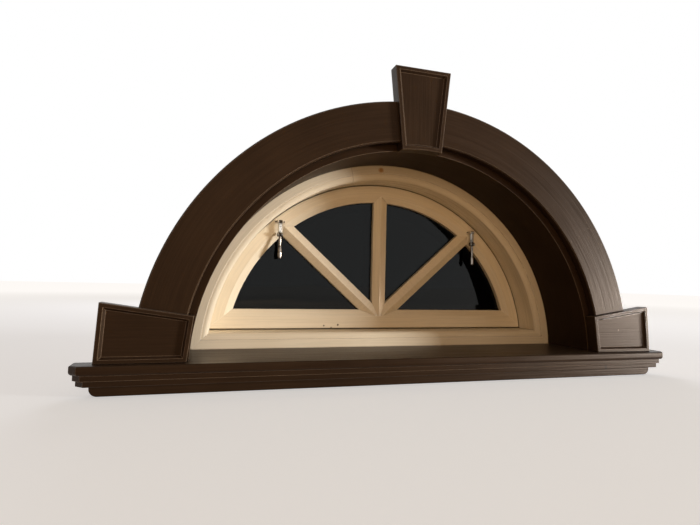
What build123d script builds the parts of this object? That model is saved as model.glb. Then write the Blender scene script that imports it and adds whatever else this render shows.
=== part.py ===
from build123d import *
import os
from math import atan, cos, degrees, radians, sin, sqrt, tan

# Half-round window with its deep reveal, arch trim and window board.
# The origin is the centre of the arch on the wall face: X runs along the wall,
# Y goes into the wall away from the room, Z points up. Sizes are in millimetres.

# Curved lining of the reveal
lining_radius = 425
lining_thickness = 18
reveal_depth = 131

# Arch trim on the wall face
trim_set_back = 14
trim_width = 80
trim_thickness = 19
trim_arris = 2

# Keystone and springer blocks
block_thickness = 27
keystone_rise = 66
keystone_drop = 2
keystone_top_width = 119
keystone_foot_width = 84
springer_inset = 11
springer_outset = 53
springer_inner_height = 78
springer_outer_height = 100
springer_inner_lean = 10
springer_outer_lean = 6
rim_land = 7
rim_slope_width = 4
recess_depth = 6
block_arris = 1

# Window board with its stepped nosing, and the apron below it
board_top = 19
board_thickness = 35
board_projection = 43
board_overhang = 33
board_corner_cut = 13
nosing_thickness = 16
nosing_top_round = 3
nosing_bottom_round = 6
second_member_thickness = 9
second_member_set_back = 5
third_member_set_back = 9
member_arris = 1.5
apron_height = 18
apron_thickness = 20
apron_inset = 28
apron_end_round = 13

# Fixed frame set at the back of the reveal
frame_margin = 32
frame_moulding_width = 14
frame_moulding_depth = 6
frame_step = 2
stop_width = 15
stop_depth = 36
frame_back_margin = 4

# Opening sash, hung on two pins in its lower corners
sash_recess = 68
sash_gap = 2
sash_foot_gap = 1.5
sash_thickness = 47
sash_edge_bevel = 6
sash_head_flat = 24
sash_rail_flat = 28.5
sash_bevel_width = 15
sash_bevel_depth = 7
glass_set_back = 12
rebate_width = 10
sash_foot_round = 3
stop_clearance = 0.3

# Glazing bars, panes and putty
bar_width = 33
bar_tongue = 13
bar_depth = 41
bar_angle = 48.2
hub_rise = 22.5
glass_thickness = 3
glass_edge_gap = 2
putty_depth = 10
putty_lip = 1

# Fixed outer sash with one upright bar
outer_sash_thickness = 38
outer_sash_gap = 2
outer_head_width = 51
outer_rail_width = 32
outer_bevel_width = 6
outer_bevel_depth = 4
outer_glass_set_back = 10
outer_bar_width = 22
outer_bar_tongue = 6
outer_bar_depth = 34
outer_rebate_width = 8
outer_screw_length = 62
outer_screw_radius = 2
outer_screw_head_radius = 4
outer_screw_head_depth = 3
outer_screw_count = 3

# Pivot pins of the opening sash
pivot_in = 6
pivot_radius = 3
pivot_in_sash = 24
pivot_in_frame = 14
socket_wall = 1.5
running_clearance = 0.05

# Drop catches near the top of the opening sash
catch_angle = 50.35
catch_inset = 12
catch_stand_off = 8
catch_plate_width = 24
catch_plate_height = 7
catch_plate_thickness = 1.6
catch_lug_gap = 9
catch_lug_thickness = 2
catch_lug_radius = 3.4
catch_pin_radius = 1.5
catch_strap_length = 29.5
catch_strap_thickness = 4
catch_strap_arris = 1.5
catch_side_play = 0.2
catch_knuckle_radius = 4.4
catch_knuckle_length = 12.6
catch_slot_width = 4.6
catch_slot_play = 0.4
catch_grip_length = 53
catch_grip_top_radius = 3
catch_grip_foot_radius = 4.7
catch_grip_neck_length = 24
catch_grip_flare_length = 15
catch_grip_foot_cut = 2
catch_screw_spacing = 18.6
catch_screw_head_radius = 2
catch_screw_head_depth = 1.2
catch_screw_radius = 1
catch_screw_length = 14

# Places worked out from the sizes above
lining_outer_radius = lining_radius + lining_thickness
trim_inner_radius = lining_radius + trim_set_back
trim_outer_radius = trim_inner_radius + trim_width
keystone_top = trim_outer_radius + keystone_rise
keystone_foot_radius = lining_radius - keystone_drop
springer_inner = trim_inner_radius - springer_inset
springer_outer = trim_outer_radius + springer_outset
board_half_length = springer_outer + board_overhang
board_foot = board_top - board_thickness
apron_half_length = board_half_length - apron_inset
jamb_radius = lining_radius - frame_margin
rail_ledge = board_top + frame_margin
sash_face = reveal_depth + sash_recess
sash_back = sash_face + sash_thickness
sash_radius = jamb_radius - sash_gap
sash_foot = rail_ledge + sash_foot_gap
sight_radius = sash_radius - sash_head_flat - sash_bevel_width
sight_foot = sash_foot + sash_rail_flat + sash_bevel_width
hub_height = sash_foot + hub_rise
stop_face = sash_back + stop_clearance
outer_sash_face = stop_face + stop_depth
outer_sash_back = outer_sash_face + outer_sash_thickness
outer_sash_radius = jamb_radius - outer_sash_gap
outer_sash_foot = rail_ledge + outer_sash_gap
outer_sight_radius = outer_sash_radius - outer_head_width
outer_sight_foot = outer_sash_foot + outer_rail_width
frame_back = outer_sash_back + frame_back_margin
pivot_depth = sash_face + pivot_in
pivot_height = sash_foot + pivot_in
catch_x = (sash_radius - catch_inset) * cos(radians(catch_angle))
catch_height = (sash_radius - catch_inset) * sin(radians(catch_angle))
catch_depth = sash_face - catch_stand_off
catch_joint_height = catch_height - catch_strap_length
catch_tongue_width = catch_slot_width - 2 * catch_side_play
catch_tongue_radius = catch_knuckle_radius - catch_slot_play
beyond = 2 * trim_outer_radius

made = {}


def keep(name, shape):
    """Collect a finished piece under its name."""
    made[name] = shape
    return shape


def slab(outline, near, far):
    """Give an outline in the wall plane its thickness between two depths."""
    return Pos(0, near, 0) * extrude(Plane.XZ * outline, amount=near - far)


def polygon(points):
    """Close a straight-sided outline."""
    return make_face(Polyline(*points, close=True))


def arch(section):
    """Turn a section of radius and depth half round over the arch."""
    return revolve(section, Axis((0, 0, 0), (0, -1, 0)), 180)


def straight(section, half_length):
    """Run a section of height and depth along X."""
    upright = Plane(origin=(-half_length, 0, 0), x_dir=(0, 0, 1), z_dir=(-1, 0, 0))
    return extrude(upright * section, amount=-2 * half_length)


def above(height):
    """Everything higher than a level, as a block for trimming."""
    return Pos(0, 0, height + beyond / 2) * Box(2 * beyond, beyond, beyond)


def wedge(points):
    """A block through the whole depth, for mitres and ends."""
    return slab(polygon(points), -beyond / 2, beyond / 2)


def mirrored(shape):
    """The same piece on the other side of the window."""
    return mirror(shape, about=Plane.YZ)


def circle_x(radius, height):
    """Half width of a circle about the arch centre at a height."""
    return sqrt(radius**2 - height**2)


def below_mitres(inner_radius, inner_height, outer_radius, outer_height):
    """Everything below the mitres in the two lower corners of a half-round frame."""
    inner_x = circle_x(inner_radius, inner_height)
    outer_x = circle_x(outer_radius, outer_height)
    run = (outer_x - inner_x) / (outer_height - inner_height)
    low = inner_height - beyond / 2
    high = inner_height + frame_margin
    low_x = inner_x + run * (low - inner_height)
    high_x = inner_x + run * (high - inner_height)
    return wedge([(-low_x, low), (low_x, low), (high_x, high), (-high_x, high)])


def keystone_outline():
    """Wedge of the keystone, with a foot that follows the arch."""
    top = keystone_top_width / 2
    foot = keystone_foot_width / 2
    foot_height = circle_x(keystone_foot_radius, foot)
    sides = Polyline(
        (-foot, foot_height), (-top, keystone_top), (top, keystone_top), (foot, foot_height)
    )
    curve = ThreePointArc((foot, foot_height), (0, keystone_foot_radius), (-foot, foot_height))
    return make_face([sides, curve])


def springer_outline():
    """Leaning block that carries the right foot of the arch trim."""
    return polygon(
        [
            (springer_inner, board_top),
            (springer_outer, board_top),
            (springer_outer - springer_outer_lean, board_top + springer_outer_height),
            (springer_inner - springer_inner_lean, board_top + springer_inner_height),
        ]
    )


def panelled_block(outline):
    """Block with a raised rim that slopes down to a sunk panel."""
    body = slab(outline, -block_thickness, 0)
    body = chamfer(body.faces().sort_by(Axis.Y)[0].edges(), block_arris)
    sunk = offset(outline, -rim_land, kind=Kind.INTERSECTION)
    slope = degrees(atan(rim_slope_width / recess_depth))
    pocket = extrude(Plane.XZ * sunk, amount=-recess_depth, taper=slope)
    return body - Pos(0, -block_thickness, 0) * pocket


def arch_trim():
    """Flat arch trim, cut where the keystone and the springer blocks stand."""
    section = polygon(
        [
            (trim_inner_radius, 0),
            (trim_outer_radius, 0),
            (trim_outer_radius, -trim_thickness),
            (trim_inner_radius, -trim_thickness),
        ]
    )
    section = chamfer(section.vertices().group_by(Axis.Y)[0], trim_arris)
    ring = arch(section) & above(board_top)
    ring -= slab(keystone_outline(), -beyond / 2, beyond / 2)
    springer = slab(springer_outline(), -beyond / 2, beyond / 2)
    ring = ring - springer - mirrored(springer)
    halves = ring.solids().sort_by(Axis.X)
    keep("arch_trim_left", halves[0])
    keep("arch_trim_right", halves[-1])


def blocks():
    """Keystone and the two springer blocks."""
    keep("keystone", panelled_block(keystone_outline()))
    springer = keep("springer_block_right", panelled_block(springer_outline()))
    keep("springer_block_left", mirrored(springer))


def lining():
    """Bent lining between the wall face and the frame."""
    section = polygon(
        [
            (lining_radius, 0),
            (lining_outer_radius, 0),
            (lining_outer_radius, reveal_depth),
            (lining_radius, reveal_depth),
        ]
    )
    keep("reveal_lining", arch(section) & above(board_top))


def board_member(set_back, top, foot):
    """One member of the nosing, returned round the cut corners."""
    end = board_half_length - set_back
    front = -board_projection + set_back
    plan = polygon(
        [
            (-end, 0),
            (-end, front + board_corner_cut),
            (-end + board_corner_cut, front),
            (end - board_corner_cut, front),
            (end, front + board_corner_cut),
            (end, 0),
        ]
    )
    return Pos(0, 0, foot) * extrude(plan, amount=top - foot)


def outer_edges(member, level):
    """Edges of a member at one level, without the one on the wall face."""
    ring = member.edges().filter_by_position(Axis.Z, level, level)
    return ring.sort_by(Axis.Y)[:-1]


def window_board():
    """Window board: stepped nosing in the room, plain board through the wall."""
    nosing_foot = board_top - nosing_thickness
    second_foot = nosing_foot - second_member_thickness
    nosing = board_member(0, board_top, nosing_foot)
    nosing = fillet(outer_edges(nosing, nosing_foot), nosing_bottom_round)
    nosing = fillet(outer_edges(nosing, board_top), nosing_top_round)
    second = board_member(second_member_set_back, nosing_foot, second_foot)
    third = board_member(third_member_set_back, second_foot, board_foot)
    third = fillet(outer_edges(third, board_foot), member_arris)
    middle = (board_top + board_foot) / 2
    inner = Pos(0, reveal_depth / 2, middle) * Box(
        2 * lining_outer_radius, reveal_depth, board_thickness
    )
    keep("window_board", nosing + second + third + inner)


def apron():
    """Small moulding under the board, with rounded lower ends."""
    outline = polygon(
        [
            (-apron_half_length, board_foot),
            (-apron_half_length, board_foot - apron_height),
            (apron_half_length, board_foot - apron_height),
            (apron_half_length, board_foot),
        ]
    )
    outline = fillet(outline.vertices().group_by(Axis.Y)[0], apron_end_round)
    body = slab(outline, -apron_thickness, 0)
    front = body.faces().sort_by(Axis.Y)[0]
    keep("apron", fillet(front.edges().sort_by(Axis.Z)[:-1], member_arris))


def frame_section(opening, outer, outward):
    """Section of the fixed frame, from its opening edge to its outer edge."""
    moulding = opening + outward * frame_moulding_width
    stop = opening - outward * stop_width
    start = reveal_depth + frame_step
    end = start + frame_moulding_depth
    bulge = sin(radians(45))
    ovolo = ThreePointArc(
        (moulding, start),
        (moulding + (opening - moulding) * bulge, end - frame_moulding_depth * bulge),
        (opening, end),
    )
    rest = Polyline(
        (opening, end),
        (opening, stop_face),
        (stop, stop_face),
        (stop, outer_sash_face),
        (opening, outer_sash_face),
        (opening, frame_back),
        (outer, frame_back),
        (outer, reveal_depth),
        (moulding, reveal_depth),
        (moulding, start),
    )
    return make_face([ovolo, rest])


def fixed_frame():
    """Arched head and straight bottom rail, mitred in the lower corners."""
    below = below_mitres(jamb_radius, rail_ledge, lining_radius, board_top)
    head = arch(frame_section(jamb_radius, lining_outer_radius, 1)) - below
    rail = straight(frame_section(rail_ledge, board_foot, -1), lining_outer_radius)
    hole = pivot_rod(
        jamb_radius - pivot_in_sash, jamb_radius + pivot_in_frame, pivot_radius + socket_wall
    )
    keep("frame_head", head - hole - mirrored(hole) - outer_sash_screws())
    keep("frame_bottom_rail", rail & below)


def sash_blank():
    """Outer form of the opening sash: a half disc with edges relieved to the back."""
    side = polygon(
        [
            (0, sash_face),
            (sash_radius, sash_face),
            (sash_radius - sash_edge_bevel, sash_back),
            (0, sash_back),
        ]
    )
    middle = sash_foot + sash_radius / 2
    foot = polygon(
        [
            (sash_foot, sash_face),
            (middle, sash_face),
            (middle, sash_back),
            (sash_foot + sash_edge_bevel, sash_back),
        ]
    )
    front_corner = foot.vertices().sort_by(Axis.X)[0]
    foot = fillet(front_corner, sash_foot_round)
    return arch(side) & (straight(foot, beyond) + above(middle))


def member_section(edge, inward, flat, bevel, face, seat, back):
    """Section of a sash member, with a bevel in front and a glazing rebate behind."""
    bevel_width, bevel_depth, rebate_depth = bevel
    arris = edge + inward * (flat + bevel_width)
    rebate = arris - inward * rebate_depth
    return polygon(
        [
            (edge, face),
            (edge + inward * flat, face),
            (arris, face + bevel_depth),
            (arris, seat),
            (rebate, seat),
            (rebate, back),
            (edge, back),
        ]
    )


def pivot_rod(start, end, radius):
    """Round along the pivot axis on the right side."""
    centre = Plane(origin=(start, pivot_depth, pivot_height), z_dir=(1, 0, 0))
    return extrude(centre * Circle(radius), amount=end - start)


def opening_sash():
    """Arched sash head and bottom rail, mitred on the bevel, with their bars."""
    bevel = (sash_bevel_width, sash_bevel_depth, rebate_width)
    seat = sash_face + sash_bevel_depth + glass_set_back
    blank = sash_blank()
    pin = pivot_rod(jamb_radius - pivot_in_sash, jamb_radius, pivot_radius)
    blank = blank - pin - mirrored(pin)
    below = below_mitres(
        sight_radius, sight_foot, sash_radius - sash_head_flat, sash_foot + sash_rail_flat
    )
    head = arch(
        member_section(sash_radius, -1, sash_head_flat, bevel, sash_face, seat, sash_back)
    )
    rail = straight(
        member_section(sash_foot, 1, sash_rail_flat, bevel, sash_face, seat, sash_back), beyond
    )
    head = keep("sash_head", (head & blank) - below)
    rail = keep("sash_bottom_rail", rail & blank & below)

    section = bar_section(bar_width, bar_tongue, sash_bevel_depth, sash_face, seat, bar_depth)
    blank = Pos(0, 0, hub_height) * extrude(section, amount=beyond)
    reach = slab(Circle(sash_radius - sash_head_flat / 2), sash_face, sash_back)
    spread = beyond * tan(radians(bar_angle / 2))
    between = wedge(
        [(0, hub_height), (spread, hub_height + beyond), (-spread, hub_height + beyond)]
    )
    keep("glazing_bar_upright", (blank & between & reach) - head - rail)
    hub = Axis((0, 0, hub_height), (0, 1, 0))
    slanted = (blank.rotate(hub, bar_angle) & reach) - between - head - rail
    keep("glazing_bar_right", slanted)
    keep("glazing_bar_left", mirrored(slanted))

    names = ["lower_left", "upper_left", "upper_right", "lower_right"]
    glaze(
        names, seat, rebate_width,
        lambda grow: lights(
            sight_radius + grow, sight_foot - grow, bar_width - 2 * grow,
            (-bar_angle, 0, bar_angle),
        ),
    )


def bar_section(width, tongue, bevel_depth, face, seat, depth):
    """Roof-shaped glazing bar with a tongue between the panes, X across and Y deep."""
    half = width / 2
    slim = tongue / 2
    return polygon(
        [
            (0, face),
            (half, face + bevel_depth),
            (half, seat),
            (slim, seat),
            (slim, face + depth),
            (-slim, face + depth),
            (-slim, seat),
            (-half, seat),
            (-half, face + bevel_depth),
        ]
    )


def lights(radius, foot, bar, angles):
    """Outlines of the lights between bars that fan out from the hub, left to right."""
    half_disc = Circle(radius) & Pos(0, foot + beyond / 2) * Rectangle(2 * beyond, beyond)
    strip = Pos(0, beyond / 2) * Rectangle(bar, beyond)
    for angle in angles:
        half_disc -= Pos(0, hub_height) * Rot(0, 0, angle) * strip
    wide = [face for face in half_disc.faces() if face.area > bar_width**2]
    return sorted(wide, key=lambda face: face.center().X)


def glaze(names, seat, rebate, outlines):
    """Panes seated on the rebates, each with its fillet of putty."""
    back = seat + glass_thickness
    panes = outlines(rebate - glass_edge_gap)
    beds = outlines(rebate)
    sights = outlines(0)
    lips = outlines(rebate - putty_lip)
    for name, pane, bed, sight, lip in zip(names, panes, beds, sights, lips):
        keep("pane_" + name, slab(pane, seat, back))
        near = Plane.XZ.offset(-back) * sight
        far = Plane.XZ.offset(-back - putty_depth) * lip
        open_middle = loft([near.face(), far.face()], ruled=True)
        keep("putty_" + name, slab(bed, back, back + putty_depth) - open_middle)


def outer_sash_screws():
    """Sunk screws that hold the outer sash on the back of the stop."""
    ring_radius = jamb_radius - stop_width / 2
    from_back = (Align.CENTER, Align.CENTER, Align.MIN)
    screws = []
    for number in range(outer_screw_count):
        angle = 180 * (number + 1) / (outer_screw_count + 1)
        place = Rot(0, -angle, 0) * Pos(ring_radius, outer_sash_back, 0) * Rot(90, 0, 0)
        head = Cylinder(outer_screw_head_radius, outer_screw_head_depth, align=from_back)
        shank = Cylinder(outer_screw_radius, outer_screw_length, align=from_back)
        screws.append(place * (head + shank))
    return Compound(screws)


def outer_sash():
    """Fixed outer sash behind the stop, with one upright bar and two panes."""
    bevel = (outer_bevel_width, outer_bevel_depth, outer_rebate_width)
    seat = outer_sash_face + outer_bevel_depth + outer_glass_set_back
    head_flat = outer_head_width - outer_bevel_width
    rail_flat = outer_rail_width - outer_bevel_width
    below = below_mitres(
        outer_sight_radius, outer_sight_foot, outer_sash_radius, outer_sash_foot
    )
    head = arch(
        member_section(
            outer_sash_radius, -1, head_flat, bevel, outer_sash_face, seat, outer_sash_back
        )
    )
    rail = straight(
        member_section(
            outer_sash_foot, 1, rail_flat, bevel, outer_sash_face, seat, outer_sash_back
        ),
        beyond,
    )
    screws = outer_sash_screws()
    disc = slab(Circle(outer_sash_radius), outer_sash_face, outer_sash_back)
    head = keep("outer_sash_head", (head & above(outer_sash_foot)) - below - screws)
    rail = keep("outer_sash_rail", rail & disc & below)
    keep("outer_sash_screws", screws)

    section = bar_section(
        outer_bar_width, outer_bar_tongue, outer_bevel_depth, outer_sash_face, seat,
        outer_bar_depth,
    )
    reach = slab(
        Circle(outer_sash_radius - head_flat / 2), outer_sash_face, outer_sash_back
    )
    bar = Pos(0, 0, outer_sash_foot + rail_flat / 2) * extrude(section, amount=beyond)
    keep("outer_sash_bar", (bar & reach) - head - rail)
    glaze(
        ["outer_left", "outer_right"], seat, outer_rebate_width,
        lambda grow: lights(
            outer_sight_radius + grow, outer_sight_foot - grow, outer_bar_width - 2 * grow,
            (-180, 0),
        ),
    )


def sash_pivots():
    """Steel pins fixed in the opening sash, turning in brass sockets in the frame."""
    end = jamb_radius + pivot_in_frame
    mouth = circle_x(jamb_radius, pivot_height - pivot_radius - socket_wall)
    pin = pivot_rod(jamb_radius - pivot_in_sash, end - running_clearance, pivot_radius)
    keep("sash_pivot_pins", Compound([pin, mirrored(pin)]))
    socket = pivot_rod(mouth, end, pivot_radius + socket_wall)
    socket -= pivot_rod(mouth - running_clearance, end, pivot_radius + running_clearance)
    keep("pivot_sockets", Compound([socket, mirrored(socket)]))


def along_x(radius, length, height):
    """Round bar across the catch, centred on it."""
    return Pos(catch_x, catch_depth, height) * Rot(0, 90, 0) * Cylinder(radius, length)


def catch_plate():
    """Screwed plate with two lugs that hold the hinge pin."""
    plate = Pos(catch_x, sash_face - catch_plate_thickness / 2, catch_height) * Box(
        catch_plate_width, catch_plate_thickness, catch_plate_height
    )
    outer = catch_lug_gap + 2 * catch_lug_thickness
    web = Pos(catch_x, sash_face - catch_stand_off / 2, catch_height) * Box(
        outer, catch_stand_off, 2 * catch_lug_radius
    )
    lugs = web + along_x(catch_lug_radius, outer, catch_height)
    between = Pos(catch_x, sash_face - catch_plate_thickness - beyond / 2, catch_height) * Box(
        catch_lug_gap, beyond, beyond
    )
    fitting = plate + (lugs - between)
    fitting -= along_x(catch_pin_radius, beyond, catch_height)
    return fitting - catch_screws()


def catch_screws():
    """Two round-headed screws that hold the right plate on the sash."""
    plate_front = sash_face - catch_plate_thickness
    head = Cylinder(
        catch_screw_head_radius, catch_screw_head_depth,
        align=(Align.CENTER, Align.CENTER, Align.MIN),
    )
    shank = Cylinder(
        catch_screw_radius, catch_screw_length,
        align=(Align.CENTER, Align.CENTER, Align.MAX),
    )
    screw = Pos(catch_x, plate_front, catch_height) * Rot(90, 0, 0) * (head + shank)
    step = catch_screw_spacing / 2
    return Compound([Pos(-step, 0, 0) * screw, Pos(step, 0, 0) * screw])


def catch_strap():
    """Flat strap with an eye on the hinge pin and a slotted knuckle below."""
    eye = along_x(catch_lug_radius, catch_lug_gap - 2 * catch_side_play, catch_height)
    neck = Box(
        catch_lug_gap - 2 * catch_side_play, catch_strap_thickness, catch_strap_length
    )
    neck = chamfer(neck.edges().filter_by(Axis.Z), catch_strap_arris)
    neck = Pos(catch_x, catch_depth, (catch_height + catch_joint_height) / 2) * neck
    knuckle = along_x(catch_knuckle_radius, catch_knuckle_length, catch_joint_height)
    slot = along_x(catch_tongue_radius + catch_side_play, catch_slot_width, catch_joint_height)
    slot += Pos(catch_x, catch_depth, catch_joint_height - beyond / 2) * Box(
        catch_slot_width, beyond, beyond
    )
    strap = eye + neck + knuckle - slot
    strap -= along_x(catch_pin_radius + running_clearance, beyond, catch_height)
    return strap - along_x(catch_pin_radius, beyond, catch_joint_height)


def catch_grip():
    """Turned drop that swells to its foot, with a flat tongue in the slotted knuckle."""
    top = -catch_knuckle_radius - catch_side_play
    foot = -catch_grip_length
    side = polygon(
        [
            (0, top),
            (catch_grip_top_radius, top),
            (catch_grip_top_radius, -catch_grip_neck_length),
            (catch_grip_foot_radius, -catch_grip_neck_length - catch_grip_flare_length),
            (catch_grip_foot_radius, foot + catch_grip_foot_cut),
            (catch_grip_foot_radius - catch_grip_foot_cut, foot),
            (0, foot),
        ]
    )
    body = revolve(Plane.XZ * side, Axis.Z, 360)
    tongue = Rot(0, 90, 0) * Cylinder(catch_tongue_radius, catch_tongue_width)
    stem = Pos(0, 0, top / 2) * Box(catch_tongue_width, catch_tongue_width, -top)
    grip = Pos(catch_x, catch_depth, catch_joint_height) * (body + tongue + stem)
    return grip - along_x(catch_pin_radius + running_clearance, beyond, catch_joint_height)


def catches():
    """The two hanging catches with their pins and screws."""
    hinge_length = catch_lug_gap + 2 * catch_lug_thickness
    pieces = {
        "catch_plate": catch_plate(),
        "catch_hinge_pin": along_x(catch_pin_radius, hinge_length, catch_height),
        "catch_strap": catch_strap(),
        "catch_joint_pin": along_x(catch_pin_radius, catch_knuckle_length, catch_joint_height),
        "catch_grip": catch_grip(),
    }
    for name, piece in pieces.items():
        keep(name + "_right", piece)
        keep(name + "_left", mirrored(piece))
    screws = catch_screws()
    keep("catch_screws", Compound(screws.solids() + mirrored(screws).solids()))
    for name in ("sash_head", "glazing_bar_left", "glazing_bar_right"):
        made[name] = made[name] - made["catch_screws"]


arch_trim()
blocks()
lining()
window_board()
apron()
fixed_frame()
opening_sash()
outer_sash()
sash_pivots()
catches()

os.makedirs("parts", exist_ok=True)
for name, shape in made.items():
    export_step(shape, os.path.join("parts", name + ".step"))
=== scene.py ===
import math

import bpy
from mathutils import Matrix, Vector


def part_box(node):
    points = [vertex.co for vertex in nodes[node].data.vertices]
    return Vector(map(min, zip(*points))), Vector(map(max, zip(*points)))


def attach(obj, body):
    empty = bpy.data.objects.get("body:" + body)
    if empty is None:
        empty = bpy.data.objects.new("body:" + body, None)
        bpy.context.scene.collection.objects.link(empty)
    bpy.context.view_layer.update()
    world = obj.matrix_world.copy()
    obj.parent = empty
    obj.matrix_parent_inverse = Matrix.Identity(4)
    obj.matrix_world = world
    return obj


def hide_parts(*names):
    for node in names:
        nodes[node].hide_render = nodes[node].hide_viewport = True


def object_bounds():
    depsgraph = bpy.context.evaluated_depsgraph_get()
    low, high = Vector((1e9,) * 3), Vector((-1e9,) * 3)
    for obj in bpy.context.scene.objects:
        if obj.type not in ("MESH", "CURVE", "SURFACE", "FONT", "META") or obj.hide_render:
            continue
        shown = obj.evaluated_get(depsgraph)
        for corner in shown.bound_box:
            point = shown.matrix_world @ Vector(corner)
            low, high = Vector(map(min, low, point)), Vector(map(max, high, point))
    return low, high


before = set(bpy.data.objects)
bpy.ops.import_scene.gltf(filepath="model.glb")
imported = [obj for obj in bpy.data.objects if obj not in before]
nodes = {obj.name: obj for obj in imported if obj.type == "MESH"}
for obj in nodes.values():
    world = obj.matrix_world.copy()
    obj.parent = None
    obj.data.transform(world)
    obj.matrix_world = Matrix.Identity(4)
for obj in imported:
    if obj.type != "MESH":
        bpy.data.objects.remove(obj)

cad_low, cad_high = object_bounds()
scene = bpy.context.scene
scene.view_settings.view_transform = "Standard"


# Camera: stands left of the middle of the window, a little above the window board,
# and looks slightly up and to the right into the reveal. The lens takes in the whole
# window with a margin around it.
image_width = 700
focal_length = 498.5  # in pixels of that width
film_width = 36
near_clip = 0.05
camera_place = Vector((-0.4162, -0.9144, 0.1621))
camera_yaw = math.radians(17.04)
camera_pitch = math.radians(2.16)
camera_roll = math.radians(1.33)

ahead = Vector((
    math.sin(camera_yaw) * math.cos(camera_pitch),
    math.cos(camera_yaw) * math.cos(camera_pitch),
    math.sin(camera_pitch),
))
level = Vector((math.cos(camera_yaw), -math.sin(camera_yaw), 0))
upward = level.cross(ahead)
image_right = math.cos(camera_roll) * level + math.sin(camera_roll) * upward
image_up = math.cos(camera_roll) * upward - math.sin(camera_roll) * level
turn = Matrix((image_right, image_up, -ahead)).transposed()
camera_data = bpy.data.cameras.new("camera")
camera_data.sensor_width = film_width
camera_data.lens = film_width * focal_length / image_width
camera_data.clip_start = near_clip
camera = bpy.data.objects.new("camera", camera_data)
camera.matrix_world = Matrix.Translation(camera_place) @ turn.to_4x4()
scene.collection.objects.link(camera)
scene.camera = camera


# Light and background: a soft lamp low on the right, which reaches the left of the reveal
# and leaves its right in shade, a small one beside it that only shines along the trim, a
# weak warm one in front, one behind, and a pale surround.
def srgb(text):
    """Turn a written sRGB colour into the linear values that a shader works in."""
    values = [int(text[i:i + 2], 16) / 255 for i in (1, 3, 5)]
    linear = [v / 12.92 if v <= 0.04045 else ((v + 0.055) / 1.055) ** 2.4 for v in values]
    return (*linear, 1.0)


def add(tree, kind, inputs=None, **settings):
    """Add a node, with its settings, its input values and the links into it."""
    node = tree.nodes.new(kind)
    for name, value in settings.items():
        setattr(node, name, value)
    for name, value in (inputs or {}).items():
        if isinstance(value, bpy.types.NodeSocket):
            tree.links.new(value, node.inputs[name])
        else:
            node.inputs[name].default_value = value
    return node


def seen_directly(tree):
    """1 where a surface is seen by the camera, in a reflection or through glass."""
    ray = add(tree, "ShaderNodeLightPath").outputs
    either = add(tree, "ShaderNodeMath", {0: ray["Is Camera Ray"], 1: ray["Is Glossy Ray"]},
                 operation="MAXIMUM")
    return add(tree, "ShaderNodeMath", {0: either.outputs[0], 1: ray["Is Transmission Ray"]},
               operation="MAXIMUM").outputs[0]


def soft_lamp(name, place, aim, width, height, watts, colour, spread=True, mirrored=True):
    """An oblong lamp that faces a point of the window and isn't seen through the panes. It
    can be kept out of the spread light, and then shines only, or out of the reflections."""
    lamp = bpy.data.lights.new(name, "AREA")
    lamp.shape = "RECTANGLE"
    lamp.size = width
    lamp.size_y = height
    lamp.energy = watts
    lamp.color = srgb(colour)[:3]
    holder = bpy.data.objects.new(name, lamp)
    holder.location = place
    holder.rotation_euler = (Vector(aim) - Vector(place)).to_track_quat("-Z", "Y").to_euler()
    holder.visible_transmission = False
    holder.visible_diffuse = spread
    holder.visible_glossy = mirrored
    scene.collection.objects.link(holder)


soft_lamp("low_right_lamp", (4.4, -1.76, 0.2), (0, 0.1, 0.15), 0.72, 0.4, 295, "#fffcf6")
soft_lamp("near_side_lamp", (1.9, -1.2, 0.015), (0, 0, 0.015), 0.45, 0.09, 17, "#fff6f2",
          spread=False)
soft_lamp("front_lamp", (-0.5, -3.2, 0.9), (0, 0.1, 0.2), 1.8, 1.2, 20, "#ffd2a0",
          mirrored=False)
soft_lamp("back_lamp", (0.6, 2.8, 1.6), (0, 0.2, 0.2), 1.8, 1.8, 24, "#f8f8ff")

surround_light = 0.22
white = srgb("#ffffff")
world = bpy.data.worlds.new("pale_surround")
world.use_nodes = True
sky = world.node_tree
sky.nodes.clear()
sky_seen = seen_directly(sky)
sky_level = add(sky, "ShaderNodeMapRange",
                {"Value": sky_seen, "To Min": surround_light, "To Max": 1.0})
sky_colour = add(sky, "ShaderNodeMix",
                 {0: sky_seen, 6: srgb("#ffddb8"), 7: white}, data_type="RGBA")
pale_sky = add(sky, "ShaderNodeBackground",
               {"Color": sky_colour.outputs[2], "Strength": sky_level.outputs[0]})
add(sky, "ShaderNodeOutputWorld", {"Surface": pale_sky.outputs[0]})
scene.world = world


# Floor: a plain pale sheet just below the apron, which keeps the shadow of the window. The
# light that it throws up on the window is warmer than it looks itself.
floor_clearance = 0.0005
floor_level = cad_low[2] - floor_clearance
floor_reach = 14.0
near_edge, far_edge = 1.2, 6.0  # distances from the window
near_glow, far_glow = 0.46, 0.82  # how much the sheet is whitened at each of them
floor_mesh = bpy.data.meshes.new("floor")
corners = [(-floor_reach, -floor_reach), (floor_reach, -floor_reach),
           (floor_reach, floor_reach), (-floor_reach, floor_reach)]
floor_mesh.from_pydata([(x, y, floor_level) for x, y in corners], [], [(0, 1, 2, 3)])
floor = bpy.data.objects.new("floor", floor_mesh)
scene.collection.objects.link(floor)
floor_sheet = bpy.data.materials.new("pale_floor_sheet")
floor_sheet.use_nodes = True
tree = floor_sheet.node_tree
tree.nodes.clear()
here = add(tree, "ShaderNodeTexCoord").outputs["Object"]
away = add(tree, "ShaderNodeVectorMath", {0: here}, operation="LENGTH").outputs["Value"]
sheet_light = add(tree, "ShaderNodeMapRange",
                  {"Value": away, "From Min": near_edge, "From Max": far_edge,
                   "To Min": near_glow, "To Max": far_glow}).outputs[0]
warm_sheet = add(tree, "ShaderNodeBsdfDiffuse", {"Color": srgb("#f4ddb8")})
plain_sheet = add(tree, "ShaderNodeBsdfDiffuse", {"Color": srgb("#e3e9f1")})
bright_sheet = add(tree, "ShaderNodeEmission", {"Color": white, "Strength": sheet_light})
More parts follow.
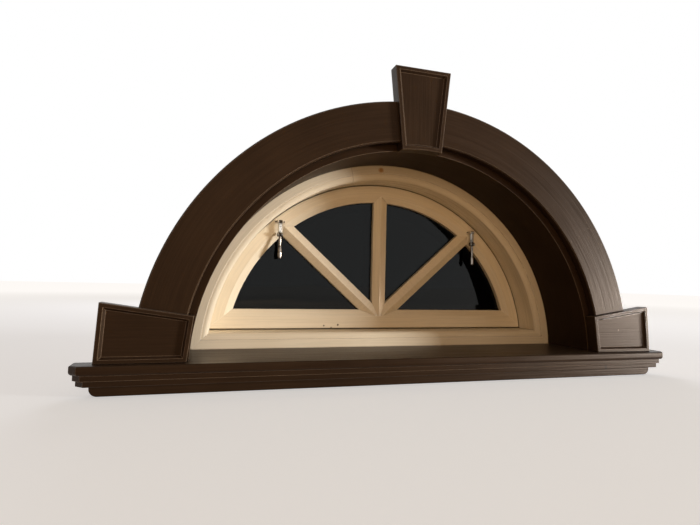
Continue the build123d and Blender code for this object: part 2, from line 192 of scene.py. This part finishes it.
seen_sheet = add(tree, "ShaderNodeAddShader",
                 {0: plain_sheet.outputs[0], 1: bright_sheet.outputs[0]})
floor_mix = add(tree, "ShaderNodeMixShader",
                {0: seen_directly(tree), 1: warm_sheet.outputs[0], 2: seen_sheet.outputs[0]})
add(tree, "ShaderNodeOutputMaterial", {"Surface": floor_mix.outputs[0]})
floor_mesh.materials.append(floor_sheet)


# Lining, window board and apron: pine, glued and nailed together, and brushed along their
# run with a dark brown satin oil paint. The lining is bent and has a flatter coat.
def give(material, *names):
    """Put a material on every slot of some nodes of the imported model."""
    for name in names:
        for place in nodes[name].material_slots:
            place.material = material


mean_radius = 0.42  # where strokes round the arch are true to size


def along_brush(tree, slope):
    """Object coordinates as (along the brush, depth, across it), in metres. The slope is
    that of the strokes, in degrees from level, and None is round the arch."""
    place = add(tree, "ShaderNodeTexCoord").outputs["Object"]
    if slope is not None:
        return add(tree, "ShaderNodeVectorRotate",
                   {"Vector": place, "Angle": math.radians(slope)},
                   rotation_type="Y_AXIS").outputs[0]
    x, y, z = add(tree, "ShaderNodeSeparateXYZ", {0: place}).outputs
    angle = add(tree, "ShaderNodeMath", {0: z, 1: x}, operation="ARCTAN2").outputs[0]
    along = add(tree, "ShaderNodeMath", {0: angle, 1: mean_radius},
                operation="MULTIPLY").outputs[0]
    flat = add(tree, "ShaderNodeCombineXYZ", {0: x, 2: z}).outputs[0]
    radius = add(tree, "ShaderNodeVectorMath", {0: flat}, operation="LENGTH").outputs["Value"]
    return add(tree, "ShaderNodeCombineXYZ", {0: along, 1: y, 2: radius}).outputs[0]


def spot(tree, place, radius):
    """1 in a small round mark at a place on the surface, 0 outside its ragged edge."""
    lumps = 0.7  # lumps of the ragged edge to each radius
    fade_start, fade_end = 0.9 * radius, 1.7 * radius  # the lumps add about half a radius
    here = add(tree, "ShaderNodeTexCoord").outputs["Object"]
    ragged = add(tree, "ShaderNodeTexNoise",
                 {"Vector": here, "Scale": lumps / radius}).outputs[0]
    away = add(tree, "ShaderNodeVectorMath", {0: here, 1: place},
               operation="DISTANCE").outputs["Value"]
    edge = add(tree, "ShaderNodeMath", {0: ragged, 1: radius, 2: away},
               operation="MULTIPLY_ADD").outputs[0]
    return add(tree, "ShaderNodeMapRange",
               {"Value": edge, "From Min": fade_start, "From Max": fade_end,
                "To Min": 1.0, "To Max": 0.0}).outputs[0]


def oil_paint(name, slope, light, dark, arris_wear_and_highlight, roughness, streak_width, relief, shine,
              sheen_colour, corner_shade, marks=(), mark_colour="#000000", seam=None,
              seam_colour="#8a7355"):
    """Oil paint laid on wood with a brush: streaks in colour, gloss and height, arrises that
    are rounded by the coat and painted paler, as rubbed paint and a painted highlight, and
    painted shade along the inner corners."""
    material = bpy.data.materials.new(name)
    material.use_nodes = True
    tree = material.node_tree
    tree.nodes.clear()
    place = along_brush(tree, slope)
    # Bristle marks are about 0.5 mm apart, too fine to show, so the streaks are coarser.
    streak_length = 0.14
    hair_low, hair_high = 0.3, 0.7  # what the streaks' noise mostly keeps to
    stretched = add(tree, "ShaderNodeVectorMath",
                    {0: place, 1: (1 / streak_length, 1 / streak_width, 1 / streak_width)},
                    operation="MULTIPLY").outputs[0]
    hairs = add(tree, "ShaderNodeTexNoise",
                {"Vector": stretched, "Scale": 1.0, "Detail": 4.0,
                 "Roughness": 0.62}).outputs[0]
    # Wider clouds vary the thickness of the coat. Both noises together average 1.
    cloud_width = 0.11
    tone_low, tone_high = 0.7, 1.3
    clouds = add(tree, "ShaderNodeTexNoise",
                 {"Vector": place, "Scale": 1 / cloud_width, "Detail": 2.0}).outputs[0]
    both = add(tree, "ShaderNodeMath", {0: hairs, 1: clouds}, operation="ADD").outputs[0]
    tone = add(tree, "ShaderNodeMapRange",
               {"Value": both, "From Min": tone_low, "From Max": tone_high}).outputs[0]
    colour = add(tree, "ShaderNodeMix", {0: tone, 6: srgb(dark), 7: srgb(light)},
                 data_type="RGBA").outputs[2]
    if seam is not None:
        seam_half_width, seam_cover = 0.0007, 0.4
        along = add(tree, "ShaderNodeSeparateXYZ", {0: place}).outputs["X"]
        crossed = add(tree, "ShaderNodeMath", {0: along, 1: seam, 2: seam_half_width},
                      operation="COMPARE").outputs[0]
        filled = add(tree, "ShaderNodeMapRange",
                     {"Value": crossed, "To Max": seam_cover}).outputs[0]
        colour = add(tree, "ShaderNodeMix", {0: filled, 6: colour, 7: srgb(seam_colour)},
                     data_type="RGBA").outputs[2]
    paint_round = 0.0016
    # Arrises: a paler colour where the coat turns, partly rubbed paint and partly a painted
    # highlight; the coat layer follows the same mask.
    arris_start, arris_full, arris_cover = 0.99, 0.9, 0.75  # cosines of how far the coat turns
    arris = add(tree, "ShaderNodeBevel", {"Radius": paint_round}, samples=6).outputs[0]
    flat = add(tree, "ShaderNodeNewGeometry").outputs["Normal"]
    level = add(tree, "ShaderNodeVectorMath", {0: arris, 1: flat},
                operation="DOT_PRODUCT").outputs["Value"]
    rubbed_and_highlit_arris = add(tree, "ShaderNodeMapRange",
                 {"Value": level, "From Min": arris_start, "From Max": arris_full,
                  "To Max": arris_cover}).outputs[0]
    colour = add(tree, "ShaderNodeMix", {0: rubbed_and_highlit_arris, 6: colour, 7: srgb(arris_wear_and_highlight)},
                 data_type="RGBA").outputs[2]
    for where, radius in marks:
        colour = add(tree, "ShaderNodeMix",
                     {0: spot(tree, where, radius), 6: colour, 7: srgb(mark_colour)},
                     data_type="RGBA").outputs[2]
    # Inner corners: painted shade, a darker colour wherever ambient occlusion finds a face
    # close by.
    corner_shade_reach = 0.005
    corner_shade_start, corner_shade_full, corner_shade_cover = 0.66, 0.36, 0.8  # shares of open air in a corner
    open_air = add(tree, "ShaderNodeAmbientOcclusion", {"Distance": corner_shade_reach},
                   samples=8).outputs["AO"]
    corner_shade_mask = add(tree, "ShaderNodeMapRange",
                   {"Value": open_air, "From Min": corner_shade_start, "From Max": corner_shade_full,
                    "To Max": corner_shade_cover}).outputs[0]
    colour = add(tree, "ShaderNodeMix", {0: corner_shade_mask, 6: colour, 7: srgb(corner_shade)},
                 data_type="RGBA").outputs[2]
    gloss = add(tree, "ShaderNodeMapRange",
                {"Value": hairs, "From Min": hair_low, "From Max": hair_high,
                 "To Min": roughness[0], "To Max": roughness[1]}).outputs[0]
    height = add(tree, "ShaderNodeBump",
                 {"Height": hairs, "Strength": 1.0, "Distance": relief,
                  "Normal": arris}).outputs[0]
    paint = add(tree, "ShaderNodeBsdfPrincipled",
                {"Base Color": colour, "Roughness": gloss, "Normal": height, "IOR": 1.5,
                 "Specular IOR Level": shine, "Specular Tint": srgb(sheen_colour),
                 "Coat Weight": rubbed_and_highlit_arris, "Coat Roughness": 0.18, "Coat IOR": 1.6})
    add(tree, "ShaderNodeOutputMaterial", {"Surface": paint.outputs[0]})
    return material


# Brown paint gives the eye a deep, even colour, a soft sheen with streaks in it where light
# grazes it, pale lines along the arrises that are rubbed paint and a painted highlight, and
# near black painted shade in the inner corners.
brown = dict(light="#33251a", dark="#271b12", arris_wear_and_highlight="#8a745d", roughness=(0.30, 0.46),
             streak_width=0.0035, relief=0.00042, shine=0.17, sheen_colour="#d8b896",
             corner_shade="#0e0906")
brown_round_paint = oil_paint("brown_satin_oil_paint_round_the_arch", None, **brown)
brown_level_paint = oil_paint("brown_satin_oil_paint_level", 0, **brown)
flat_brown = dict(brown, roughness=(0.42, 0.55), shine=0.08)
give(oil_paint("brown_flat_oil_paint_round_the_arch", None, **flat_brown), "reveal_lining")
crack_x, crack_front, crack_radius = 0.4424, -0.034, 0.0026
crack_places = [((crack_x, crack_front, height), crack_radius)
                for height in (-0.0085, -0.011, -0.0135)]
brown_cracked_paint = oil_paint(
    "brown_satin_oil_paint_with_a_crack", 0, **brown, marks=crack_places,
    mark_colour="#0c0805")
give(brown_cracked_paint, "window_board")
give(brown_level_paint, "apron")


# Arch trim, springer blocks and keystone: flat pine trim, bent round the front of the
# lining, and panelled blocks at its feet and crown, nailed on and painted brown like it.
# A nail in the right block was filled over, and shows as a pale dot.
nail_place, nail_radius = (0.489, -0.021, 0.067), 0.0023
brown_upright_paint = oil_paint("brown_satin_oil_paint_upright", 90, **brown)
brown_block_paint = oil_paint(
    "brown_satin_oil_paint_over_filler", 0, **brown,
    marks=[(nail_place, nail_radius)], mark_colour="#6f6054")
give(brown_round_paint, "arch_trim_left", "arch_trim_right")
give(brown_block_paint, "springer_block_left", "springer_block_right")
give(brown_upright_paint, "keystone")


# Fixed frame: pine members with a moulded front edge, mitred in the lower corners. The
# head is glued up from short lengths: one joint shows left of the crown, and a knot beside
# it has bled through the coat.
knot_place, knot_radius = (-0.028, 0.131, 0.414), 0.0066
seam_turn = math.radians(103.3)  # from the right foot of the arch

# Cream oil paint gives the eye a warm off-white with a clear gloss and faint streaks, paler
# lines along the arrises that are rubbed paint and a painted highlight, and brown lines of
# painted shade where two faces meet.
cream = dict(light="#ebe0cb", dark="#e5d9c2", arris_wear_and_highlight="#fff7ea", roughness=(0.22, 0.34),
             streak_width=0.0040, relief=0.00010, shine=0.4, sheen_colour="#ffdcb4",
             corner_shade="#6e5335")
cream_level_paint = oil_paint("cream_oil_paint_level", 0, **cream)
cream_upright_paint = oil_paint("cream_oil_paint_upright", 90, **cream)
cream_round_paint = oil_paint("cream_oil_paint_round_the_arch", None, **cream)
cream_knot_paint = oil_paint(
    "cream_oil_paint_over_a_knot", None, **cream, marks=[(knot_place, knot_radius)],
    mark_colour="#bf9263", seam=seam_turn * mean_radius)
give(cream_knot_paint, "frame_head")
give(cream_level_paint, "frame_bottom_rail")


# Opening sash: pine head, bottom rail and three glazing bars, which are mitred where they
# meet at the foot, in the same cream paint. Three dark flecks of dirt are caught in the
# coat of the bottom rail.
sash_front = 0.199
fleck_places = [((-0.1345, sash_front, 0.0593), 0.0020),
                ((-0.101, sash_front, 0.061), 0.0025),
                ((-0.117, sash_front, 0.0548), 0.0018)]
cream_flecked_paint = oil_paint(
    "cream_oil_paint_with_flecks", 0, **cream, marks=fleck_places, mark_colour="#2a2018")
give(cream_round_paint, "sash_head")
give(cream_flecked_paint, "sash_bottom_rail")
give(cream_upright_paint, "glazing_bar_upright")
bar_slope = 43  # degrees, the run of the side bars down to the middle of the rail
give(oil_paint("cream_oil_paint_down_to_the_right", bar_slope, **cream),
     "glazing_bar_left")
give(oil_paint("cream_oil_paint_down_to_the_left", -bar_slope, **cream),
     "glazing_bar_right")


# Outer sash: a plainer pine sash with one upright bar, screwed to the back of the stop,
# in the same cream paint.
give(cream_round_paint, "outer_sash_head")
give(cream_level_paint, "outer_sash_rail")
give(cream_upright_paint, "outer_sash_bar")


# Panes and putty: drawn sheet glass in both sashes, bedded in linseed putty that was
# painted over. The glass is tinted near black, painted shade for the dark space behind it,
# and has a faint, wavy reflection and a thin film of dust.
glass = bpy.data.materials.new("drawn_sheet_glass")
glass.use_nodes = True
tree = glass.node_tree
tree.nodes.clear()
film_patches, drawn_waves = 18.0, 9.0  # to each metre
thin_film, thick_film, film_roughness = 0.35, 0.75, 0.02
wave_height = 0.0003
here = add(tree, "ShaderNodeTexCoord").outputs["Object"]
film = add(tree, "ShaderNodeTexNoise",
           {"Vector": here, "Scale": film_patches, "Detail": 3.0}).outputs[0]
film_gloss = add(tree, "ShaderNodeMapRange",
                 {"Value": film, "From Min": thin_film, "From Max": thick_film,
                  "To Min": 0.0, "To Max": film_roughness}).outputs[0]
waves = add(tree, "ShaderNodeTexNoise",
            {"Vector": here, "Scale": drawn_waves, "Detail": 1.0}).outputs[0]
drawn = add(tree, "ShaderNodeBump",
            {"Height": waves, "Strength": 1.0, "Distance": wave_height}).outputs[0]
# The near black base colour tints what is seen through the glass: painted shade.
sheet = add(tree, "ShaderNodeBsdfPrincipled",
            {"Base Color": srgb("#2c2e2d"), "Roughness": film_gloss, "Normal": drawn,
             "IOR": 1.52, "Specular Tint": srgb("#a4a6a6"), "Transmission Weight": 1.0})
add(tree, "ShaderNodeOutputMaterial", {"Surface": sheet.outputs[0]})
panes = ["pane_lower_left", "pane_upper_left", "pane_upper_right", "pane_lower_right",
         "pane_outer_left", "pane_outer_right"]
give(glass, *panes)
give(cream_level_paint, *[name.replace("pane", "putty") for name in panes])


# Pivots: turned steel pins in the lower corners of the sash, which it tilts on, and turned
# brass sockets for them, let into the fixed frame. Both are hidden when the sash is shut.
def worn_metal(name, bright, dull, roughness, patch, dull_places=(), shaded_sides=False):
    """Metal that is dull in patches and round given places and, with shaded sides, painted
    dull and dark on the faces turned away from the front, as painted shade."""
    patch_start, patch_full = 0.45, 0.7
    front_start, front_end = -0.9, -0.45  # how far a face is turned from the front
    arris_round = 0.0004
    material = bpy.data.materials.new(name)
    material.use_nodes = True
    tree = material.node_tree
    tree.nodes.clear()
    coordinates = add(tree, "ShaderNodeTexCoord").outputs
    patches = add(tree, "ShaderNodeTexNoise",
                  {"Vector": coordinates["Object"], "Scale": 1 / patch, "Detail": 5.0,
                   "Roughness": 0.6}).outputs[0]
    wear = add(tree, "ShaderNodeMapRange",
               {"Value": patches, "From Min": patch_start, "From Max": patch_full}).outputs[0]
    for where, radius in dull_places:
        wear = add(tree, "ShaderNodeMath", {0: wear, 1: spot(tree, where, radius)},
                   operation="MAXIMUM").outputs[0]
    # Faces turned away from the front get the dull colour: painted shade.
    if shaded_sides:
        facing = add(tree, "ShaderNodeSeparateXYZ", {0: coordinates["Normal"]}).outputs["Y"]
        turned = add(tree, "ShaderNodeMapRange",
                     {"Value": facing, "From Min": front_start,
                      "From Max": front_end}).outputs[0]
        wear = add(tree, "ShaderNodeMath", {0: wear, 1: turned},
                   operation="MAXIMUM").outputs[0]
    colour = add(tree, "ShaderNodeMix", {0: wear, 6: srgb(bright), 7: srgb(dull)},
                 data_type="RGBA").outputs[2]
    gloss = add(tree, "ShaderNodeMapRange",
                {"Value": wear, "To Min": roughness[0], "To Max": roughness[1]}).outputs[0]
    arris = add(tree, "ShaderNodeBevel", {"Radius": arris_round}, samples=6).outputs[0]
    metal = add(tree, "ShaderNodeBsdfPrincipled",
                {"Base Color": colour, "Roughness": gloss, "Metallic": 1.0, "Normal": arris})
    add(tree, "ShaderNodeOutputMaterial", {"Surface": metal.outputs[0]})
    return material


# Turned brass gives the eye a yellow gloss with browner patches, and turned steel a pale
# grey one with darker patches.
turned_brass = worn_metal("turned_brass", "#c9a45c", "#8a6d3a", (0.25, 0.45), 0.006)
turned_steel = worn_metal("turned_steel", "#d8d4cc", "#8d867c", (0.22, 0.42), 0.006)
give(turned_brass, "pivot_sockets")
give(turned_steel, "sash_pivot_pins")


# Catches: a strap and a turned drop of nickel-plated steel, which hang on steel pins from
# a plate that is screwed to the sash. The plates were brushed over with the cream paint of
# the sash.
turning_places = []
for side in ("left", "right"):
    for pin, reach in (("catch_joint_pin_", 0.0085), ("catch_hinge_pin_", 0.0075)):
        low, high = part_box(pin + side)
        turning_places.append((tuple((low + high) / 2), reach))
# Nickel plate gives the eye a clear, warm white mirror on the front of the strap, a darker
# grey one on the drop, both painted dark on their sides as painted shade, and near black
# round the pins. Tarnished steel gives it small dark dots.
bright_nickel = worn_metal(
    "nickel_plated_steel_bright", "#f3eadc", "#3a332b", (0.18, 0.45), 0.006, turning_places,
    shaded_sides=True)
# The drop's nickel is darker than the strap's: painted shade.
shaded_nickel = worn_metal(
    "nickel_plated_steel_shaded", "#a3978b", "#2c251f", (0.22, 0.42), 0.005, turning_places,
    shaded_sides=True)
dark_steel = worn_metal("tarnished_steel", "#6a6157", "#2e2822", (0.35, 0.6), 0.003)
for side in ("left", "right"):
    give(bright_nickel, "catch_strap_" + side)
    give(shaded_nickel, "catch_grip_" + side)
    give(dark_steel, "catch_hinge_pin_" + side, "catch_joint_pin_" + side)
    give(cream_upright_paint, "catch_plate_" + side)


# Screws: slotted steel screws, two in each catch plate and three in the outer sash. Each
# stands on a point, its head towards the side that it was driven from, its slot turned
# as it came to rest.
def screw_tree():
    """Geometry nodes that set a slotted screw on every point of a mesh."""
    tree = bpy.data.node_groups.new("slotted_screws", "GeometryNodeTree")
    tree.interface.new_socket("Geometry", in_out="INPUT", socket_type="NodeSocketGeometry")
    for name in ("Head Radius", "Head Depth", "Shank Radius", "Shank Length", "Slot Width",
                 "Slot Depth", "Tilt"):
        tree.interface.new_socket(name, in_out="INPUT", socket_type="NodeSocketFloat")
    tree.interface.new_socket("Metal", in_out="INPUT", socket_type="NodeSocketMaterial")
    tree.interface.new_socket("Geometry", in_out="OUTPUT", socket_type="NodeSocketGeometry")
    given = add(tree, "NodeGroupInput").outputs
    facets = 24
    domed_share = 0.72  # what the dome leaves of the head's radius at its top
    slot_overrun = 3.0  # the cutter's length, as a share of the head's radius
    domed = add(tree, "ShaderNodeMath", {0: given["Head Radius"], 1: domed_share},
                operation="MULTIPLY").outputs[0]
    head = add(tree, "GeometryNodeMeshCone",
               {"Vertices": facets, "Radius Top": domed, "Radius Bottom": given["Head Radius"],
                "Depth": given["Head Depth"]}).outputs["Mesh"]
    half = add(tree, "ShaderNodeMath", {0: given["Shank Length"], 1: -0.5},
               operation="MULTIPLY").outputs[0]
    drop = add(tree, "ShaderNodeCombineXYZ", {2: half}).outputs[0]
    shank = add(tree, "GeometryNodeMeshCylinder",
                {"Vertices": facets, "Radius": given["Shank Radius"],
                 "Depth": given["Shank Length"]}).outputs["Mesh"]
    shank = add(tree, "GeometryNodeTransform",
                {"Geometry": shank, "Translation": drop}).outputs[0]
    slot_length = add(tree, "ShaderNodeMath", {0: given["Head Radius"], 1: slot_overrun},
                      operation="MULTIPLY").outputs[0]
    # Half of the cutter stands above the head.
    slot_height = add(tree, "ShaderNodeMath", {0: given["Slot Depth"], 1: 2.0},
                      operation="MULTIPLY").outputs[0]
    slot_size = add(tree, "ShaderNodeCombineXYZ",
                    {0: slot_length, 1: given["Slot Width"], 2: slot_height}).outputs[0]
    slot_place = add(tree, "ShaderNodeCombineXYZ", {2: given["Head Depth"]}).outputs[0]
    slot = add(tree, "GeometryNodeMeshCube", {"Size": slot_size}).outputs["Mesh"]
    slot = add(tree, "GeometryNodeTransform",
               {"Geometry": slot, "Translation": slot_place}).outputs[0]
    head = add(tree, "GeometryNodeMeshBoolean", {"Mesh 1": head, "Mesh 2": slot},
               operation="DIFFERENCE").outputs["Mesh"]
    screw = add(tree, "GeometryNodeJoinGeometry")
    tree.links.new(head, screw.inputs[0])
    tree.links.new(shank, screw.inputs[0])
    turn_seed, most_turn = 7, 3.0
    spin = add(tree, "FunctionNodeRandomValue", {3: most_turn, "Seed": turn_seed},
               data_type="FLOAT")
    spun = add(tree, "ShaderNodeCombineXYZ",
               {0: given["Tilt"], 1: spin.outputs[1]}).outputs[0]
    turned = add(tree, "FunctionNodeEulerToRotation", {0: spun}).outputs[0]
    points = add(tree, "GeometryNodeMeshToPoints", {0: given["Geometry"]}).outputs[0]
    screws = add(tree, "GeometryNodeInstanceOnPoints",
                 {"Points": points, "Instance": screw.outputs[0],
                  "Rotation": turned}).outputs[0]
    real = add(tree, "GeometryNodeRealizeInstances", {0: screws}).outputs[0]
    finished = add(tree, "GeometryNodeSetMaterial",
                   {"Geometry": real, "Material": given["Metal"]}).outputs[0]
    add(tree, "NodeGroupOutput", {0: finished})
    return tree


def driven_screws(name, places, sizes):
    """A mesh of screws at the given places, made by the geometry nodes above."""
    mesh = bpy.data.meshes.new(name)
    mesh.from_pydata(places, [], [])
    piece = bpy.data.objects.new(name, mesh)
    scene.collection.objects.link(piece)
    maker = piece.modifiers.new("screws", "NODES")
    maker.node_group = slotted_screws
    for item in slotted_screws.interface.items_tree:
        if item.in_out == "INPUT" and item.name in sizes:
            maker[item.identifier] = sizes[item.name]
    made = piece.evaluated_get(bpy.context.evaluated_depsgraph_get())
    plain = bpy.data.meshes.new_from_object(made)
    piece.modifiers.clear()
    piece.data = plain
    return piece


slotted_screws = screw_tree()
plate_screw = {"Head Radius": 0.002, "Head Depth": 0.0012, "Shank Radius": 0.001,
               "Shank Length": 0.014, "Slot Width": 0.0006, "Slot Depth": 0.0006,
               "Tilt": math.radians(90), "Metal": dark_steel}
half_spacing = 0.0093  # from the middle of the plate to each screw
plate_thickness = 0.0016
plate_front = sash_front - plate_thickness
plate_places = []
for side in ("left", "right"):
    low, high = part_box("catch_plate_" + side)
    middle = (low + high) / 2
    for step in (-half_spacing, half_spacing):
        plate_places.append((middle.x + step, plate_front, middle.z))
plate_screws = driven_screws("slotted_plate_screws", plate_places, plate_screw)
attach(plate_screws, "sash")
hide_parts("catch_screws")

outer_screw = {"Head Radius": 0.004, "Head Depth": 0.003, "Shank Radius": 0.002,
               "Shank Length": 0.062, "Slot Width": 0.0011, "Slot Depth": 0.0012,
               "Tilt": math.radians(-90), "Metal": turned_steel}
screw_ring = 0.3855  # radius on which the three screws of the outer sash stand
outer_face = 0.3203  # how deep the outer face of that sash lies
ring_places = []
for degrees in (45, 90, 135):
    turn = math.radians(degrees)
    ring_places.append(
        (screw_ring * math.cos(turn), outer_face, screw_ring * math.sin(turn)))
outer_screws = driven_screws("slotted_outer_sash_screws", ring_places, outer_screw)
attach(outer_screws, "surround")
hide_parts("outer_sash_screws")
